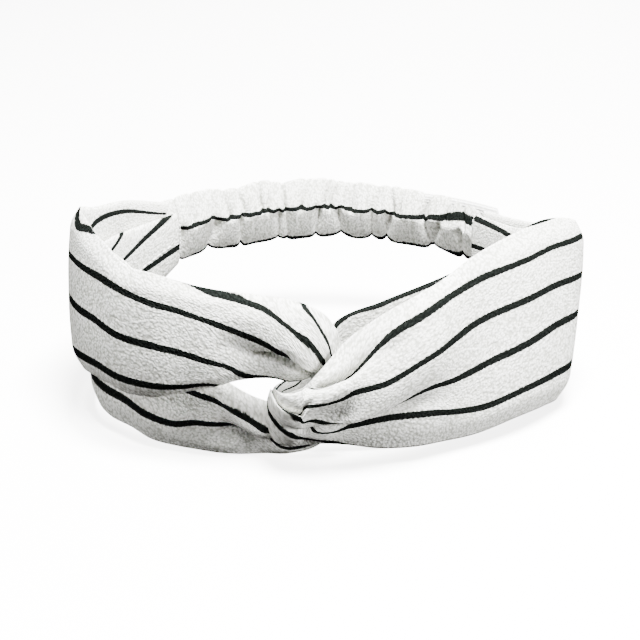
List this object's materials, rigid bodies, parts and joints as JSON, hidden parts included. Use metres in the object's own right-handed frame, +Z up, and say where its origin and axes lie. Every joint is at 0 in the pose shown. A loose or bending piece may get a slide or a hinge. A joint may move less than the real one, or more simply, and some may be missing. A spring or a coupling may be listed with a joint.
{
  "type": "twist-knot spa headband",
  "caption": "Soft fabric headband: two striped cloth loops hooked into a front twist knot and joined by a gathered elastic casing at the back.",
  "frame": {"origin": "on the surface the band stands on, under the middle of its bounding box", "axes": "+X to the right seen from the knot's side, +Y from the knot to the back casing, +Z up"},
  "size_m": [0.1724, 0.1462, 0.0622],
  "materials": {
    "crepe": "matt",
    "elastic": "matt",
    "thread": "satin"
  },
  "bodies": {
    "front": {"left_loop": "crepe", "right_loop": "crepe", "left_loop_seam_thread": "thread", "right_loop_seam_thread": "thread", "left_join_stitches": "thread", "right_join_stitches": "thread", "left_elastic_tack": "thread", "right_elastic_tack": "thread", "casing_left": "crepe", "casing_right": "crepe", "elastic_left": "elastic", "elastic_right": "elastic", "casing_seam_thread_left": "thread", "casing_seam_thread_right": "thread"},
    "back": {"casing_middle": "crepe", "elastic_middle": "elastic", "casing_seam_thread_middle": "thread"}
  },
  "joints": [
    {"name": "elastic_stretch", "type": "slide", "parent": "front", "child": "back", "axis": [0, 1, 0], "range_m": [0, 0.04], "stiffness_N_per_m": 80, "deforming": ["casing_left", "casing_right", "elastic_left", "elastic_right", "casing_seam_thread_left", "casing_seam_thread_right"]}
  ]
}
